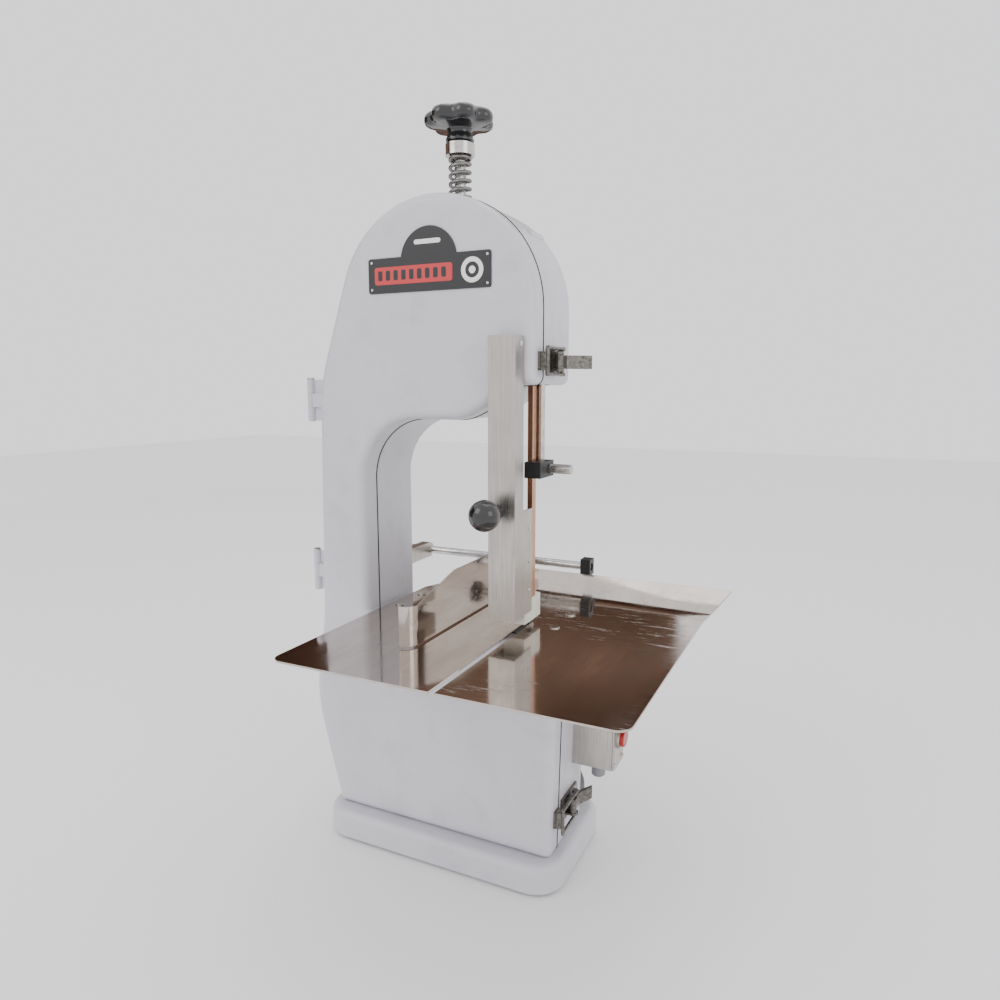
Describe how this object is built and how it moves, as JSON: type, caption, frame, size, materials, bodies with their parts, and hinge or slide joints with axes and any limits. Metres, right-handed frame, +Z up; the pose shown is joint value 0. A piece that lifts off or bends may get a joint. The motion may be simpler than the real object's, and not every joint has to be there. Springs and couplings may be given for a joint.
{
  "type": "bone saw",
  "caption": "Countertop butcher's band saw with a C-shaped painted casting, hinged door, steel table with sliding gauge, raising blade guard and a tension knob on top.",
  "frame": {"origin": "on the counter, at the middle of the plinth's four bolt holes", "axes": "+X to the operator's right, +Y from the door towards the back, +Z up"},
  "size_m": [0.51, 0.414, 0.9025],
  "materials": {
    "white_enamel": "semi-gloss enamel",
    "dark_enamel": "satin enamel",
    "motor_enamel": "satin enamel",
    "rubber": "moulded",
    "zinc_steel": "zinc plated",
    "bearing_steel": "ground",
    "wheel_iron": "turned and oiled",
    "blade_steel": "hardened band",
    "spring_steel": "drawn wire",
    "bright_steel": "polished",
    "brushed_stainless": "brushed",
    "mirror_stainless": "mirror polished sheet",
    "polished_guide": "ground bar",
    "latch_steel": "zinc plated, worn",
    "black_phenolic": "moulded phenolic",
    "black_plastic": "moulded",
    "grey_plastic": "moulded",
    "white_nylon": "machined nylon",
    "green_plastic": "moulded",
    "red_plastic": "moulded",
    "plate_black": "printed plate"
  },
  "bodies": {
    "frame": {"base_plinth": "white_enamel", "rubber_feet": "rubber", "main_casting": "white_enamel", "rear_cover": "white_enamel", "motor_cover": "dark_enamel", "cover_screws": "zinc_steel", "frame_bolts": "zinc_steel", "motor_housing": "motor_enamel", "motor_bells": "motor_enamel", "motor_bearings": "bearing_steel", "carriage_rails": "zinc_steel", "saw_blade": "blade_steel", "tension_spring": "spring_steel", "tension_collar": "bright_steel", "table_sheet": "mirror_stainless", "table_rails": "brushed_stainless", "table_bolts": "bright_steel", "gauge_rod": "bright_steel", "rod_arm": "brushed_stainless", "rod_end": "black_plastic", "lower_blade_guide": "white_nylon", "switch_box": "brushed_stainless", "switch_cover": "brushed_stainless", "cable_gland": "grey_plastic", "casting_hinges": "white_enamel", "hinge_pins": "bright_steel", "latch_bases": "latch_steel"},
    "drive": {"lower_wheel": "wheel_iron", "motor_rotor": "bearing_steel", "wheel_nut": "zinc_steel", "cooling_fan": "black_plastic"},
    "idler": {"upper_wheel": "wheel_iron", "upper_bearings": "bearing_steel"},
    "carriage": {"tension_carriage": "wheel_iron", "wheel_axle": "bearing_steel", "tension_screw": "zinc_steel"},
    "tension_handwheel": {"tension_knob": "black_phenolic"},
    "door": {"front_door": "white_enamel", "nameplate": "plate_black", "door_hinges": "white_enamel", "latch_catches": "latch_steel", "guard_rail": "brushed_stainless", "post_bracket": "brushed_stainless", "guide_post": "bright_steel"},
    "guard": {"guard_channel": "brushed_stainless", "blade_shroud": "brushed_stainless", "ball_knob": "black_phenolic", "guide_bar": "polished_guide", "guide_block": "black_plastic", "upper_blade_guide": "white_nylon"},
    "guard_lock": {"guard_lock_screw": "bright_steel"},
    "upper_lever": {"latch_lever_upper": "latch_steel"},
    "lower_lever": {"latch_lever_lower": "latch_steel"},
    "upper_bail": {"latch_bail_upper": "latch_steel"},
    "lower_bail": {"latch_bail_lower": "latch_steel"},
    "gauge": {"gauge_plate": "mirror_stainless", "gauge_hub": "bright_steel"},
    "gauge_lock": {"gauge_lock_knob": "black_phenolic"},
    "start": {"start_button": "green_plastic"},
    "stop": {"stop_button": "red_plastic"}
  },
  "joints": [
    {"name": "drive_spin", "type": "hinge", "parent": "frame", "child": "drive", "pos_m": [0, -0.025, 0.176], "axis": [0, 1, 0], "continuous": true},
    {"name": "tension_slide", "type": "slide", "parent": "frame", "child": "carriage", "axis": [0, 0, 1], "range_m": [-0.01, 0]},
    {"name": "idler_spin", "type": "hinge", "parent": "carriage", "child": "idler", "pos_m": [0, -0.025, 0.671], "axis": [0, 1, 0], "continuous": true},
    {"name": "knob_turn", "type": "hinge", "parent": "frame", "child": "tension_handwheel", "pos_m": [0, 0.003, 0.87], "axis": [0, 0, 1], "range_deg": [0, 1800]},
    {"name": "door_swing", "type": "hinge", "parent": "frame", "child": "door", "pos_m": [-0.194, -0.044, 0.42], "axis": [0, 0, -1], "range_deg": [0, 110]},
    {"name": "guard_lift", "type": "slide", "parent": "door", "child": "guard", "axis": [0, 0, 1], "range_m": [0, 0.08]},
    {"name": "guard_lock_turn", "type": "hinge", "parent": "guard", "child": "guard_lock", "pos_m": [0.14, -0.0225, 0.494], "axis": [1, 0, 0], "range_deg": [0, 180]},
    {"name": "upper_latch", "type": "hinge", "parent": "frame", "child": "upper_lever", "pos_m": [0.136, -0.02, 0.614], "axis": [0, 0, -1], "range_deg": [0, 150]},
    {"name": "upper_bail_turn", "type": "hinge", "parent": "upper_lever", "child": "upper_bail", "pos_m": [0.136, -0.011, 0.614], "axis": [0, 0, -1], "range_deg": [-150, 0]},
    {"name": "lower_latch", "type": "hinge", "parent": "frame", "child": "lower_lever", "pos_m": [0.16038, -0.02, 0.085], "axis": [0, 0, -1], "range_deg": [0, 150]},
    {"name": "lower_bail_turn", "type": "hinge", "parent": "lower_lever", "child": "lower_bail", "pos_m": [0.16038, -0.011, 0.085], "axis": [0, 0, -1], "range_deg": [-150, 0]},
    {"name": "gauge_slide", "type": "slide", "parent": "frame", "child": "gauge", "axis": [-1, 0, 0], "range_m": [-0.045, 0.08]},
    {"name": "gauge_lock_turn", "type": "hinge", "parent": "gauge", "child": "gauge_lock", "pos_m": [0.013, 0.151, 0.36], "axis": [0, 0, 1], "range_deg": [0, 180]},
    {"name": "start_press", "type": "slide", "parent": "frame", "child": "start", "axis": [-1, 0, 0], "range_m": [0, 0.0035], "stiffness_N_per_m": 600},
    {"name": "stop_press", "type": "slide", "parent": "frame", "child": "stop", "axis": [-1, 0, 0], "range_m": [0, 0.0035], "stiffness_N_per_m": 600}
  ],
  "couplings": [
    {"joint": "idler_spin", "follows": "drive_spin", "ratio": 1},
    {"joint": "knob_turn", "follows": "tension_slide", "rad_per_m": -3141.6},
    {"joint": "upper_bail_turn", "follows": "upper_latch", "ratio": -1},
    {"joint": "lower_bail_turn", "follows": "lower_latch", "ratio": -1}
  ]
}
